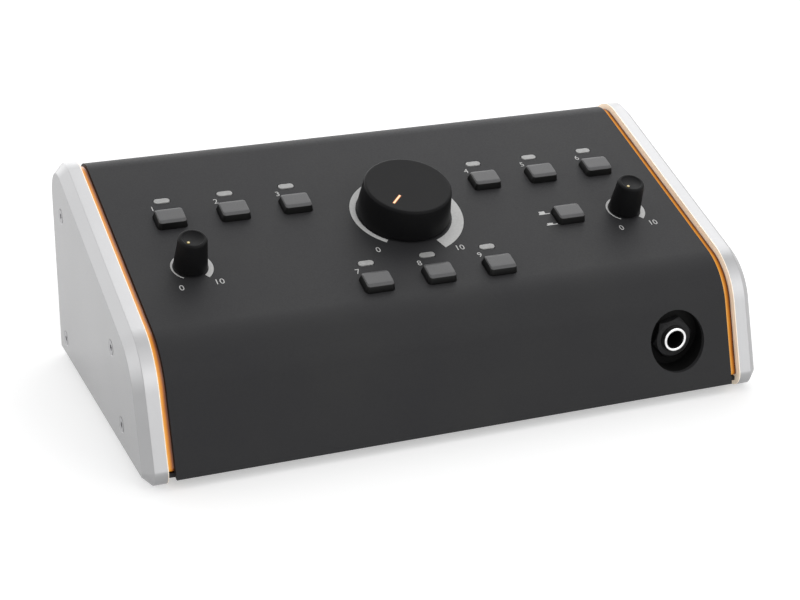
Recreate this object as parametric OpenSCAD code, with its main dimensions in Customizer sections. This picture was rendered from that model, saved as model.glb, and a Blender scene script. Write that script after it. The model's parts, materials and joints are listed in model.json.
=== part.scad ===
// Studio monitor controller: a sloping steel desktop housing between two thick aluminium cheeks.
// X runs left to right, +Y to the back, +Z up, in millimetres.
// The origin is on the desk, under the middle of the whole object.

/* [Housing] */
// Width of the folded steel cover
cover_w = 200; // [190:1:230]
// Height of the sharp front corner above the cover's lower edge
front_h = 38.3; // [34:0.5:46]
// Lean of the front face from the vertical
front_lean = 17; // [12:1:20]
// Slope of the control panel from the horizontal
panel_slope = 19.8; // [14:0.5:24]
// Depth of the cover at its lower edge
cover_d = 116.5; // [112:0.5:140]
// Outer radius of the large bend between front face and panel
front_bend_r = 22.8; // [8:0.2:24]
// Outer radius of the bend between panel and rear wall
rear_bend_r = 12; // [4:0.5:14]
// Sheet thickness of cover and bottom plate
sheet_t = 1.5; // [1:0.1:2]
// Height of the cover's lower edge above the desk
cover_lift = 3.1; // [2.6:0.1:6]

/* [Cheeks] */
// Thickness of a cheek
cheek_t = 7.8; // [6:0.1:10]
// Chamfer round a cheek's outer face
cheek_chamfer = 3.2; // [1:0.1:4]
// How far a cheek stands proud of the front face and the panel
cheek_proud = 1.4; // [0.5:0.1:3]
// How far a cheek stands proud of the rear wall
cheek_back_proud = 0.6; // [0.2:0.1:3]
// Height of a cheek's lower edge above the desk
cheek_lift = 1; // [0.6:0.1:2.4]
// Radius of a cheek's lower front corner
cheek_toe_r = 4.8; // [2:0.2:8]
// Thickness of the acrylic accent plate between cheek and cover
accent_t = 2.5; // [1.5:0.1:4]
// How far the accent plate's edge lies inside the cover's outline
accent_inset = 1; // [0.4:0.1:2]
// Height of the accent plate's lower edge above the cover's lower edge
accent_rise = 2.1; // [1.8:0.1:6]
// Thickness of the end plate that closes the cover
end_plate_t = 2; // [1.5:0.1:3]
// Thread radius of the cheek screws
cheek_screw_r = 1.25; // [1:0.05:1.5]

/* [Push buttons] */
// Width of a button cap at its foot
cap_w = 10; // [9.6:0.1:12]
// Depth of a button cap at its foot
cap_d = 8; // [7.4:0.1:10]
// Width of a button cap's top face
cap_top_w = 9; // [7:0.1:9.2]
// Depth of a button cap's top face
cap_top_d = 5.1; // [3:0.1:5.3]
// Height of a cap's top face above the panel
cap_h = 2.8; // [2.4:0.1:5]
// Travel of a button
cap_travel = 2; // [1:0.1:2.2]
// Gap between a cap and its hole in the panel, each side
cap_gap = 0.3; // [0.25:0.05:0.6]
// Pitch of the buttons in the rear groups
rear_pitch = 22.2; // [17:0.1:23]
// Distance from the middle of the panel to the first rear button
rear_first_x = 35.6; // [30:0.1:38]
// Place of the rear row up the slope, from the sharp front corner
rear_row_s = 62.4; // [60:0.1:66]
// Pitch of the front row of buttons
front_pitch = 22.2; // [17:0.1:30]
// Place of the front row up the slope
front_row_s = 17.6; // [16.5:0.1:19]
// Place of the selector button up the slope
selector_s = 38.5; // [36:0.1:42]
// Distance from a button's middle to its indicator window
window_offset = 10.8; // [8.6:0.1:12]
// Length of an indicator window
window_l = 5.6; // [4:0.1:8]
// Width of an indicator window
window_w = 2.5; // [1.6:0.1:3]

/* [Knobs] */
// Radius of the volume knob at its foot
volume_r = 16.4; // [12:0.1:17]
// Radius of the volume knob at its top
volume_top_r = 15.3; // [10:0.1:16]
// Height of the volume knob
volume_h = 11.6; // [10:0.1:18]
// Place of the volume knob up the slope
volume_s = 51.3; // [50:0.1:54]
// Radius of a level knob at its skirt
level_r = 5.7; // [5.6:0.1:7]
// Radius of a level knob at its top
level_top_r = 4.8; // [3.9:0.1:5]
// Height of a level knob
level_h = 11.6; // [10.5:0.1:18]
// Place of the level knobs up the slope
level_s = 38.1; // [34:0.1:40]
// Distance of a level knob's middle from the cover's side
level_inset = 20; // [18:0.1:22]
// Gap between a knob's foot and the panel
knob_gap = 0.6; // [0.3:0.1:1]
// Radius of the control shafts
shaft_r = 3; // [2:0.1:3.2]

/* [Sockets] */
// Bore radius of every 6.35 mm socket
jack_bore_r = 3.25; // [3.2:0.01:3.3]
// Depth of a socket's bore from its mouth
jack_bore_l = 26; // [24:0.5:30]
// Distance of the headphone socket from the cover's side
phones_inset = 20; // [18:0.5:40]
// Height of the headphone socket above the desk
phones_z = 20.2; // [19:0.1:22]
// Radius of the round recess round the headphone socket
recess_r = 10.4; // [9:0.1:10.6]
// Distance of the first rear socket from the cover's side
rear_jack_inset = 22; // [20:0.1:24]
// Distance of the last rear socket from the cover's other side
rear_jack_end = 42.2; // [40:0.1:46]
// Height of the rear sockets above the desk
rear_jack_z = 22; // [21:0.1:24]
// Height of the upper rear row above the desk
upper_row_z = 46; // [42:0.5:48]

/* [Inside and feet] */
// Radius of a rubber foot
foot_r = 6; // [4:0.1:8]
// Thickness of both circuit boards
board_t = 1.6; // [1:0.1:2]
// Depth of the control board's face below the panel's outer face
control_depth = 13; // [12:0.1:14]
// Height of the main board above the bottom plate
main_board_lift = 7; // [5:0.1:8]

/* [Hidden] */

round_fn = 64;
fit_gap = 0.3;
thread_gap = 0.05;
cut = 1;

// Outline of the housing's side, as sharp corners (y, z): toe, brow, rear top, heel.
front_run = front_h * tan(front_lean);
rear_h = front_h + (cover_d - front_run) * tan(panel_slope);
cover_corners = [[0, 0], [front_run, front_h], [cover_d, rear_h], [cover_d, 0]];

function left_normal(a, b) = [a[1] - b[1], b[0] - a[0]] / norm(b - a);
function cross_2d(a, b) = a[0] * b[1] - a[1] * b[0];
function line_meet(p, u, q, v) = p + u * cross_2d(q - p, v) / cross_2d(u, v);

// Corners of the outline whose side number i has moved outwards by grow[i].
function grown(pts, grow) = [for (i = [0 : len(pts) - 1]) let(
    h = (i + len(pts) - 1) % len(pts),
    n = (i + 1) % len(pts),
    nh = left_normal(pts[h], pts[i]) * grow[h],
    ni = left_normal(pts[i], pts[n]) * grow[i])
    line_meet(pts[h] + nh, pts[i] - pts[h], pts[i] + ni, pts[n] - pts[i])];

// The same outline with corner i rounded to radii[i], in steps of at most step degrees.
function rounded(pts, radii, step = 2.2) = [for (i = [0 : len(pts) - 1]) let(
    h = (i + len(pts) - 1) % len(pts),
    n = (i + 1) % len(pts),
    r = max(radii[i], 0),
    na = left_normal(pts[h], pts[i]),
    nb = left_normal(pts[i], pts[n]),
    turn = acos(na * nb),
    c = r > 0 ? line_meet(pts[h] - na * r, pts[i] - pts[h], pts[i] - nb * r, pts[n] - pts[i]) : pts[i],
    a0 = atan2(na[1], na[0]),
    steps = r > 0 ? max(ceil(turn / step), 2) : 0)
    for (k = [0 : steps]) c + (r > 0 ? r * [cos(a0 - turn * k / steps), sin(a0 - turn * k / steps)] : [0, 0])];

// An outline grown on its front, panel, rear and lower side, with the housing's own bends.
function outline(front, rear, lower, toe_r, bend_grow) = rounded(
    grown(cover_corners, [front, front, rear, lower]),
    [toe_r, front_bend_r + bend_grow, rear_bend_r + bend_grow, 0]);

cover_outline = outline(0, 0, 0, 0, 0);
cover_inside = outline(-sheet_t, -sheet_t, cut, 0, -sheet_t);
cheek_rise = cover_lift - cheek_lift;
cheek_outline = outline(cheek_proud, cheek_back_proud, cheek_rise, cheek_toe_r, cheek_proud);
cheek_face = outline(cheek_proud - cheek_chamfer, cheek_back_proud - cheek_chamfer,
    cheek_rise - cheek_chamfer, cheek_toe_r - cheek_chamfer, cheek_proud - cheek_chamfer);
accent_outline = outline(-accent_inset, -accent_inset, -accent_rise, 1, -accent_inset);
end_inset = sheet_t + fit_gap;
end_outline = outline(-end_inset, -end_inset, -sheet_t, 0, -end_inset);

half_w = cover_w / 2;
level_x = half_w - level_inset;
phones_x = half_w - phones_inset;
cheek_x = half_w + accent_t;

// Rear sockets stand out of the rear wall by this much, which also ends the object's depth.
jack_proud = 3;
depth_min = min([for (p = cheek_outline) p[0]]);
depth_max = max(cover_d + cheek_back_proud, cover_d + jack_proud);
y_shift = -(depth_min + depth_max) / 2;
front_y = depth_min + y_shift;
rear_y = cover_d + y_shift;

// Panel frame: x across, y up the slope from the sharp front corner, z out of the panel.
brow_y = front_run + y_shift;
brow_z = front_h + cover_lift;
module on_panel(x = 0, s = 0, h = 0) {
    translate([0, brow_y, brow_z]) rotate([panel_slope, 0, 0]) translate([x, s, h]) children();
}

// A plate with a side outline, from x0 and t thick, in the object's place.
module side_plate(pts, x0, t) {
    translate([x0, y_shift, cover_lift]) rotate([90, 0, 90]) linear_extrude(t) polygon(pts);
}

// A rounded rectangle's corners in order, and a closed stack of such rings at rising heights.
function rect_ring(w, d, r) = rounded(
    [[-w / 2, -d / 2], [-w / 2, d / 2], [w / 2, d / 2], [w / 2, -d / 2]], [r, r, r, r], 18);
module ring_stack(rings, heights) {
    n = len(rings[0]);
    last = len(rings) - 1;
    polyhedron(
        points = [for (k = [0 : last], p = rings[k]) [p[0], p[1], heights[k]]],
        faces = concat(
            [[for (i = [n - 1 : -1 : 0]) i]],
            [[for (i = [0 : n - 1]) last * n + i]],
            [for (k = [0 : last - 1], i = [0 : n - 1])
                [k * n + i, k * n + (i + 1) % n, (k + 1) * n + (i + 1) % n, (k + 1) * n + i]]));
}

module stadium(l, w) {
    union() {
        square([l - w, w], center = true);
        for (x = [-1, 1]) translate([x * (l - w) / 2, 0]) circle(d = w, $fn = round_fn);
    }
}

// A cylinder along +X from x0, or along -Y (out of the front) and +Y (out of the back).
module rod_x(x0, y, z, r, l) {
    translate([x0, y, z]) rotate([0, 90, 0]) cylinder(h = l, r = r, $fn = round_fn);
}
module rod_y(x, y0, z, r, l) {
    translate([x, y0, z]) rotate([-90, 0, 0]) cylinder(h = l, r = r, $fn = round_fn);
}
module hex_y(x, y0, z, flats, l, turn = 0) {
    translate([x, y0, z]) rotate([-90, turn, 0]) cylinder(h = l, d = flats / cos(30), $fn = 6);
}
// A round hole's cutter along +Z, up from z0, at each of the places (x, y).
module holes_up(places, r, z0, l) {
    for (p = places) translate([p[0], p[1], z0]) cylinder(h = l, r = r, $fn = round_fn);
}

// ---- Places of the controls -------------------------------------------------
rear_row_x = concat(
    [for (i = [2 : -1 : 0]) -rear_first_x - i * rear_pitch],
    [for (i = [0 : 2]) rear_first_x + i * rear_pitch]);
button_at = concat(
    [for (x = rear_row_x) [x, rear_row_s]],
    [for (i = [-1 : 1]) [i * front_pitch, front_row_s]],
    [[rear_first_x + rear_pitch, selector_s]]);
window_at = [for (i = [0 : 8]) [button_at[i][0], button_at[i][1] + window_offset]];

window_fit = 0.2;
cap_corner_r = 1.2;
cap_edge_h = 0.4;
cap_edge_w = 0.2;
cap_edge_d = 1;
cap_skirt = 2.6;
cap_stem_r = 1.6;
switch_size = 8;
switch_gap = 1.2;
switch_top = -(cap_skirt + cap_travel + switch_gap);
switch_bore_gap = 0.15;
stem_rest_gap = cap_travel + 0.8;
switch_floor = 1.2;
stem_end = -control_depth + switch_floor + stem_rest_gap;

pot_size = 11;
pot_h = 6.5;
pot_top = -control_depth + pot_h;
bush_r = 3.5 + shaft_r - 3;
shaft_foot = -control_depth + 1.5;
shaft_running = 0.05;
shaft_foot_gap = 0.2;
level_bush_top = -sheet_t - 0.5;
nut_h = 2;
nut_flats = 3 * bush_r;
volume_bush_top = nut_h + 0.6;

phones_lean_y = (phones_z - cover_lift) * tan(front_lean) + y_shift;
cup_depth = 5.6;
cup_wall = 1.4;
cup_back_y = phones_lean_y + cup_depth;
phones_nut_h = 2.6;
phones_flats = 13.2;
phones_nut_turn = -12;
ferrule_proud = 1.6;
ferrule_r = 4.25;
phones_mouth_y = cup_back_y - phones_nut_h - ferrule_proud;
jack_bush_r = 4.7;
jack_body = 15.4;
rear_jack_pitch = (cover_w - rear_jack_inset - rear_jack_end) / 7;
rear_jack_x = [for (i = [0 : 7]) rear_jack_inset - half_w + i * rear_jack_pitch];
jack_nut_h = 2.2;
jack_nut_flats = 12.6;

upper_jack_x = 20;
mini_r = 1.8;
mini_bush_r = 2.9;
mini_body = 8;
mini_l = 14;
mini_proud = 1;
power_inset = 20;
inlet_x = half_w - power_inset;
inlet_w = 9;
inlet_r = 3.1;
inlet_pin_r = 1;
inlet_l = 14;
inlet_bore_l = 9.5;
inlet_proud = 0.6;
switch_x = half_w - power_inset;
rocker_r = 6;
rocker_w = 8;
rocker_tilt = 10;
rocker_pin_l = 1;
bezel_w = 15;
bezel_h = 17;
bezel_proud = 1.2;
bezel_lip = 1.5;
switch_w = bezel_w - 2 * bezel_lip;
switch_h = bezel_h - 2 * bezel_lip;
switch_depth = 13;

base_top = cover_lift + sheet_t;
main_board_z = base_top + main_board_lift;
main_board_inset = 14;
main_board_w = cover_w - 2 * main_board_inset;
main_board_front = 36;
main_board_rear = cover_d - sheet_t - 2;
main_board_d = main_board_rear - main_board_front;
standoff_inset = 6;
standoff_at = [for (x = [-1, 1], y = [0.12, 0.62]) [x * (main_board_w / 2 - standoff_inset),
    main_board_front + y * main_board_d + y_shift]];
post_front_s = 22;
post_rear_s = 84;
post_at = [for (x = [-1, 1], s = [post_front_s, post_rear_s]) [x * (rear_first_x + rear_pitch / 2), s]];
screw_r = 1.5;
thread_r = screw_r + thread_gap;
pan_head_r = 2.7;
post_r = 2.8;
flange_w = 11;
flange_t = 2;
base_screw_y = [for (f = [0.22, 0.5, 0.78]) f * cover_d + y_shift];
base_screw_x = half_w - end_plate_t - flange_w / 2;
base_screw_at = [for (x = [-1, 1], y = base_screw_y) [x * base_screw_x, y]];
foot_inset = 22;
foot_at = [for (x = [-1, 1], f = [0.12, 0.9]) [x * (half_w - foot_inset), f * cover_d + y_shift]];

// Cheek screws, from their shares of the cover's depth and of its height at the back.
cheek_screw_at = [for (f = [[0.23, 0.117], [0.31, 0.42], [0.9, 0.097], [0.87, 0.716]])
    [f[0] * cover_d + y_shift, f[1] * rear_h + cover_lift]];

// ---- Shells -------------------------------------------------------------------
module top_cover() color("#333333") difference() {
    side_plate(cover_outline, -half_w, cover_w);
    side_plate(cover_inside, -half_w - cut, cover_w + 2 * cut);
    for (b = button_at) on_panel(b[0], b[1], -sheet_t - cut) linear_extrude(sheet_t + 2 * cut)
        polygon(rect_ring(cap_w + 2 * cap_gap, cap_d + 2 * cap_gap, cap_corner_r + cap_gap));
    for (w = window_at) on_panel(w[0], w[1], -sheet_t - cut) linear_extrude(sheet_t + 2 * cut)
        stadium(window_l + 2 * window_fit, window_w + 2 * window_fit);
    on_panel() {
        holes_up([[0, volume_s]], bush_r + fit_gap, -sheet_t - cut, sheet_t + 2 * cut);
        holes_up([[-level_x, level_s], [level_x, level_s]], shaft_r + 2 * fit_gap,
            -sheet_t - cut, sheet_t + 2 * cut);
    }
    rod_y(phones_x, front_y - cut, phones_z, recess_r, cup_back_y - front_y);
    for (x = rear_jack_x) rod_y(x, rear_y - 2 * sheet_t, rear_jack_z, jack_bush_r + fit_gap, 4 * sheet_t);
    rod_y(upper_jack_x, rear_y - 2 * sheet_t, upper_row_z, mini_bush_r + fit_gap, 4 * sheet_t);
    translate([inlet_x, rear_y, rear_jack_z])
        cube([inlet_w + 2 * fit_gap, 4 * sheet_t, inlet_w + 2 * fit_gap], center = true);
    translate([switch_x, rear_y, upper_row_z])
        cube([switch_w + 2 * fit_gap, 4 * sheet_t, switch_h + 2 * fit_gap], center = true);
}

module base_plate() color("#2b2b2b") difference() {
    translate([-cheek_x, y_shift + sheet_t + cut, cover_lift])
        cube([2 * cheek_x, cover_d - 2 * sheet_t - fit_gap - cut, sheet_t]);
    holes_up(concat(base_screw_at, foot_at, standoff_at), thread_r, 0, 2 * base_top);
}

// One cheek, on the right; the left one is its mirror image.
screw_head_r = 2 * cheek_screw_r;
screw_head_h = 1.4;
skin = 0.01;
module cheek_screw_holes(x0, l, r) {
    for (s = cheek_screw_at) rod_x(x0, s[0], s[1], r, l);
}
module cheek() color("silver") difference() {
    union() {
        side_plate(cheek_outline, cheek_x, cheek_t - cheek_chamfer);
        hull() {
            side_plate(cheek_outline, cheek_x + cheek_t - cheek_chamfer - skin, skin);
            side_plate(cheek_face, cheek_x + cheek_t - skin, skin);
        }
    }
    cheek_screw_holes(cheek_x - cut, cheek_t + 2 * cut, cheek_screw_r + fit_gap);
    for (s = cheek_screw_at) translate([cheek_x + cheek_t - screw_head_h - thread_gap, s[0], s[1]])
        rotate([0, 90, 0]) cylinder(h = screw_head_h + cut, r1 = cheek_screw_r + fit_gap,
            r2 = screw_head_r + fit_gap + (screw_head_r - cheek_screw_r) * cut / screw_head_h, $fn = round_fn);
}
module left_cheek() mirror([1, 0, 0]) cheek();
module right_cheek() cheek();

module accent_plate() color("orange") difference() {
    side_plate(accent_outline, half_w, accent_t);
    cheek_screw_holes(half_w - cut, accent_t + 2 * cut, cheek_screw_r + fit_gap);
}
module left_accent_plate() mirror([1, 0, 0]) accent_plate();
module right_accent_plate() accent_plate();

// End plate: closes the cover and carries the cheek; its lower flange takes the bottom screws.
flange_front = 0.13 * cover_d + y_shift + foot_r + 2;
flange_rear = 0.83 * cover_d + y_shift;
module end_plate() color("#1c1c1c") difference() {
    union() {
        side_plate(end_outline, half_w - end_plate_t, end_plate_t);
        translate([half_w - end_plate_t - flange_w, flange_front, base_top])
            cube([flange_w + cut / 2, flange_rear - flange_front, flange_t]);
    }
    cheek_screw_holes(half_w - end_plate_t - cut, end_plate_t + 2 * cut, cheek_screw_r + thread_gap);
    holes_up(base_screw_at, thread_r, base_top - cut, flange_t + 2 * cut);
}
module left_end_plate() mirror([1, 0, 0]) end_plate();
module right_end_plate() end_plate();

// ---- Fasteners and feet ---------------------------------------------------------
// A screw along +Z with its head below, head face at z = 0; slot is a cross recess.
module screw_up(r, l, head_r, head_h) difference() {
    union() {
        cylinder(h = head_h, r = head_r, $fn = round_fn);
        cylinder(h = l, r = r, $fn = round_fn);
    }
    for (a = [0, 90]) rotate([0, 0, a]) cube([head_r * 1.1, head_r * 0.25, head_h], center = true);
}

cheek_screw_l = cheek_t + accent_t + end_plate_t + 1;
module cheek_screws() color("gray") for (side = [0, 1]) mirror([side, 0, 0])
    for (s = cheek_screw_at) translate([cheek_x + cheek_t, s[0], s[1]]) rotate([0, -90, 0])
        difference() {
            union() {
                cylinder(h = screw_head_h, r1 = screw_head_r, r2 = cheek_screw_r, $fn = round_fn);
                cylinder(h = cheek_screw_l, r = cheek_screw_r, $fn = round_fn);
            }
            translate([0, 0, -cut]) cylinder(h = cut + screw_head_h * 0.7, r = cheek_screw_r * 0.9, $fn = 6);
        }

foot_well_r = 3.2;
foot_floor = 1.2;
foot_head_h = 1.4;
module rubber_feet() color("#111111") for (f = foot_at) translate([f[0], f[1], 0]) difference() {
    cylinder(h = cover_lift, r = foot_r, $fn = round_fn);
    translate([0, 0, -cut]) cylinder(h = cover_lift - foot_floor + cut, r = foot_well_r, $fn = round_fn);
    cylinder(h = cover_lift + cut, r = thread_r, $fn = round_fn);
}
module foot_screws() color("gray") for (f = foot_at)
    translate([f[0], f[1], cover_lift - foot_floor - foot_head_h])
        screw_up(screw_r, foot_head_h + foot_floor + sheet_t + 2, foot_well_r - 0.5, foot_head_h);
pan_head_h = 1.2;
module base_screws() color("gray") for (p = base_screw_at) translate([p[0], p[1], cover_lift - pan_head_h])
    screw_up(screw_r, pan_head_h + sheet_t + flange_t + 1, pan_head_r, pan_head_h);

// ---- Boards ---------------------------------------------------------------------
control_board_inset = 8;
control_w = cover_w - 2 * control_board_inset;
control_front_s = 9;
control_d = 81;
module control_board() color("darkgreen") on_panel(0, 0, -control_depth - board_t) difference() {
    translate([-control_w / 2, control_front_s, 0]) cube([control_w, control_d, board_t]);
    holes_up(post_at, thread_r, -cut, board_t + 2 * cut);
}
post_thread = 6;
post_thread_spare = 1;
module control_board_posts() color("silver") for (p = post_at)
    on_panel(p[0], p[1], -control_depth) difference() {
        cylinder(h = control_depth - sheet_t, r = post_r, $fn = round_fn);
        translate([0, 0, -cut]) cylinder(h = post_thread + cut, r = thread_r, $fn = round_fn);
    }
module control_board_screws() color("gray") for (p = post_at)
    on_panel(p[0], p[1], -control_depth - board_t - pan_head_h)
        screw_up(screw_r, pan_head_h + board_t + post_thread - post_thread_spare, pan_head_r, pan_head_h);

board_y = main_board_front + y_shift;
module main_board() color("darkgreen") difference() {
    translate([-main_board_w / 2, board_y, main_board_z]) cube([main_board_w, main_board_d, board_t]);
    holes_up(standoff_at, thread_r, 0, 2 * main_board_z);
}
module main_board_standoffs() color("silver") for (s = standoff_at)
    translate([s[0], s[1], base_top]) difference() {
        cylinder(h = main_board_lift, d = 2 * post_r, $fn = 6);
        translate([0, 0, -cut]) cylinder(h = main_board_lift + 2 * cut, r = thread_r, $fn = round_fn);
    }
screw_apart = 1;
standoff_thread = (main_board_lift - screw_apart) / 2;
module main_board_screws() color("gray") for (s = standoff_at) {
    translate([s[0], s[1], cover_lift - pan_head_h])
        screw_up(screw_r, pan_head_h + sheet_t + standoff_thread, pan_head_r, pan_head_h);
    translate([s[0], s[1], main_board_z + board_t + pan_head_h]) mirror([0, 0, 1])
        screw_up(screw_r, pan_head_h + board_t + standoff_thread, pan_head_r, pan_head_h);
}

// Six relays, four capacitors and two chips stand on the main board, and the receiver at its left.
parts_z = main_board_z + board_t;
relay_w = 15;
relay_d = 7.4;
relay_h = 10;
relay_pitch = 24;
relay_front = 26;
capacitor_r = 4;
capacitor_h = 11;
capacitor_pitch = 15;
capacitor_front = 14;
chip_w = 10;
chip_d = 6;
chip_h = 1.8;
chip_pitch = 16;
chip_front = 8;
module main_board_parts() color("#222222") translate([0, board_y, parts_z]) {
    for (i = [-3 : 2]) translate([(i + 1 / 6) * relay_pitch, relay_front, 0]) cube([relay_w, relay_d, relay_h]);
    for (i = [-2 : 1]) translate([(i + 1 / 8) * capacitor_pitch, capacitor_front, 0])
        cylinder(h = capacitor_h, r = capacitor_r, $fn = round_fn);
    for (i = [2 : 3]) translate([i * chip_pitch, chip_front, 0]) cube([chip_w, chip_d, chip_h]);
}
receiver_w = 15;
receiver_d = 20;
receiver_h = 1;
receiver_inset = 16;
receiver_front = 6;
can_size = 12;
can_h = 2;
module receiver_module() color("navy")
    translate([receiver_inset - main_board_w / 2, board_y + receiver_front, parts_z]) {
        cube([receiver_w, receiver_d, receiver_h]);
        translate([(receiver_w - can_size) / 2, receiver_d / 2 - can_size / 3, receiver_h - thread_gap])
            cube([can_size, can_size, can_h]);
    }

// Ribbon between the boards: a flat strip that swings out and back as it climbs.
ribbon_w = 22;
ribbon_t = 0.9;
ribbon_front = 40;
ribbon_y = board_y + ribbon_front;
ribbon_swing = 5;
function board_under(y) = brow_z + (y - brow_y) * tan(panel_slope)
    - (control_depth + board_t) / cos(panel_slope);
function ribbon_path(side) = [for (k = [0 : 24]) let(t = k / 24)
    [ribbon_y - ribbon_swing * (1 - cos(360 * t)) / 2 + side * ribbon_t / 2,
     parts_z + t * (board_under(ribbon_y + side * ribbon_t / 2) - parts_z)]];
module ribbon_cable() color("gray") rotate([90, 0, 90]) translate([0, 0, -ribbon_w / 2])
    linear_extrude(ribbon_w) polygon(concat(ribbon_path(-1), [for (k = [24 : -1 : 0]) ribbon_path(1)[k]]));

// ---- Knobs ----------------------------------------------------------------------
// A turned knob: foot and top radius, height, edge radius, skirt round the foot, shaft hole.
module knob_shape(foot, top, h, edge, skirt_h, skirt_r, hole_h) difference() {
    rotate_extrude($fn = 96) union() {
        polygon([[0, 0], [foot, 0], [top, h - edge], [top - edge, h], [0, h]]);
        intersection() {
            translate([top - edge, h - edge]) circle(edge, $fn = round_fn);
            translate([top - edge, h - edge]) square(2 * edge);
        }
        square([skirt_r, skirt_h]);
    }
    translate([0, 0, -cut]) cylinder(h = hole_h + cut, r = shaft_r + shaft_running, $fn = round_fn);
}
knob_floor = 2.4;
pointer_depth = 0.8;
slot_fit = 0.05;
volume_edge = 1.1;
volume_skirt_h = 1;
volume_hollow_r = 9.5;
volume_hollow_h = 3.4;
volume_pointer_l = 5.4;
volume_pointer_mid = 0.61 * volume_top_r;
pointer_rest = -135;
pointer_w = 1.1;
module volume_knob() color("#141414") on_panel(0, volume_s, knob_gap) difference() {
    knob_shape(volume_r, volume_top_r, volume_h, volume_edge, volume_skirt_h, volume_r, volume_h - knob_floor);
    translate([0, 0, -cut]) cylinder(h = volume_hollow_h + cut, r = volume_hollow_r, $fn = round_fn);
    rotate([0, 0, pointer_rest]) translate([volume_pointer_mid, 0, volume_h - pointer_depth / 2 + cut / 2])
        cube([volume_pointer_l + 2 * slot_fit, pointer_w + 2 * slot_fit, pointer_depth + cut], center = true);
}
module volume_pointer() color("orange") on_panel(0, volume_s, knob_gap) rotate([0, 0, pointer_rest])
    translate([volume_pointer_mid, 0, volume_h - pointer_depth / 2])
        cube([volume_pointer_l, pointer_w, pointer_depth], center = true);
// A shaft with a slot across its end, up to just below the floor of a knob h high.
shaft_end_gap = 0.5;
shaft_slot = 2;
module control_shaft(h) difference() {
    translate([0, 0, shaft_foot])
        cylinder(h = h + knob_gap - knob_floor - shaft_end_gap - shaft_foot, r = shaft_r, $fn = round_fn);
    translate([-shaft_r / 4, -2 * shaft_r, h + knob_gap - knob_floor - shaft_slot])
        cube([shaft_r / 2, 4 * shaft_r, 2 * shaft_slot]);
}
module volume_shaft() color("silver") on_panel(0, volume_s) control_shaft(volume_h);
module control_body(bush_top) color("silver") difference() {
    union() {
        translate([-pot_size / 2, -pot_size / 2 - 1, -control_depth]) cube([pot_size, pot_size + 2, pot_h]);
        translate([0, 0, pot_top - cut]) cylinder(h = bush_top - pot_top + cut, r = bush_r, $fn = round_fn);
    }
    translate([0, 0, shaft_foot - shaft_foot_gap])
        cylinder(h = control_depth + volume_h, r = shaft_r + shaft_running, $fn = round_fn);
}
module volume_control() on_panel(0, volume_s) control_body(volume_bush_top);
module volume_nut() color("silver") on_panel(0, volume_s) difference() {
    cylinder(h = nut_h, d = nut_flats / cos(30), $fn = 6);
    translate([0, 0, -cut]) cylinder(h = nut_h + 2 * cut, r = bush_r + thread_gap, $fn = round_fn);
}

level_edge = 0.6;
level_body_r = 5.5;
level_dish = 0.4;
level_rim = 1.1;
level_skirt_h = 0.6;
dot_r = 0.5;
dot_proud = 0.15;
dot_rest = -142;
level_dot_at = 2.4;
module level_knob(x) color("#141414") on_panel(x, level_s, knob_gap) difference() {
    knob_shape(level_body_r, level_top_r, level_h, level_edge, level_skirt_h, level_r, level_h - knob_floor);
    translate([0, 0, level_h - level_dish])
        cylinder(h = level_dish + cut, r = level_top_r - level_rim, $fn = round_fn);
    rotate([0, 0, dot_rest]) translate([level_dot_at, 0, level_h - level_dish - pointer_depth])
        cylinder(h = pointer_depth + cut, r = dot_r + slot_fit, $fn = round_fn);
}
module level_pointer(x) color("#f4efdc") on_panel(x, level_s, knob_gap) rotate([0, 0, dot_rest])
    translate([level_dot_at, 0, level_h - level_dish - pointer_depth])
        cylinder(h = pointer_depth + dot_proud, r = dot_r, $fn = round_fn);
module aux_knob() level_knob(-level_x);
module aux_pointer() level_pointer(-level_x);
module aux_shaft() color("silver") on_panel(-level_x, level_s) control_shaft(level_h);
module aux_control() on_panel(-level_x, level_s) control_body(level_bush_top);
module phones_knob() level_knob(level_x);
module phones_pointer() level_pointer(level_x);
module phones_shaft() color("silver") on_panel(level_x, level_s) control_shaft(level_h);
module phones_control() on_panel(level_x, level_s) control_body(level_bush_top);

// ---- Push buttons ---------------------------------------------------------------
// A cap with a straight foot in its hole, sides that lean in, a thin bevel and a stem.
cap_foot = rect_ring(cap_w, cap_d, cap_corner_r);
cap_shoulder = rect_ring(cap_top_w + 2 * cap_edge_w, cap_top_d + 2 * cap_edge_d, 0.8 * cap_corner_r);
cap_top = rect_ring(cap_top_w, cap_top_d, cap_corner_r / 2);
module button(i) color("#3a3a3a") on_panel(button_at[i][0], button_at[i][1]) {
    ring_stack([cap_foot, cap_foot, cap_shoulder, cap_top], [-cap_skirt, 0, cap_h - cap_edge_h, cap_h]);
    translate([0, 0, stem_end]) cylinder(h = -cap_skirt / 2 - stem_end, r = cap_stem_r, $fn = round_fn);
}
module stereo_button() button(0);
module aux_button() button(1);
module pair_button() button(2);
module speaker_1_button() button(3);
module speaker_2_button() button(4);
module speaker_3_button() button(5);
module mono_button() button(6);
module dim_button() button(7);
module mute_button() button(8);
module selector_button() button(9);

module button_switches() color("#202020") for (b = button_at)
    on_panel(b[0], b[1], -control_depth) difference() {
        translate([-switch_size / 2, -switch_size / 2, 0])
            cube([switch_size, switch_size, control_depth + switch_top]);
        translate([0, 0, switch_floor])
            cylinder(h = control_depth, r = cap_stem_r + switch_bore_gap, $fn = round_fn);
    }

led = [3.2, 1.8];
led_h = 2;
window_proud = 0.2;
module indicator_windows() color("#b8b8b8") for (w = window_at)
    on_panel(w[0], w[1], -control_depth + led_h + fit_gap)
        linear_extrude(control_depth - led_h - fit_gap + window_proud) stadium(window_l, window_w);
module indicator_leds() color("white") for (w = window_at) on_panel(w[0], w[1], -control_depth)
    translate([-led[0] / 2, -led[1] / 2, 0]) cube([led[0], led[1], led_h]);

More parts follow.
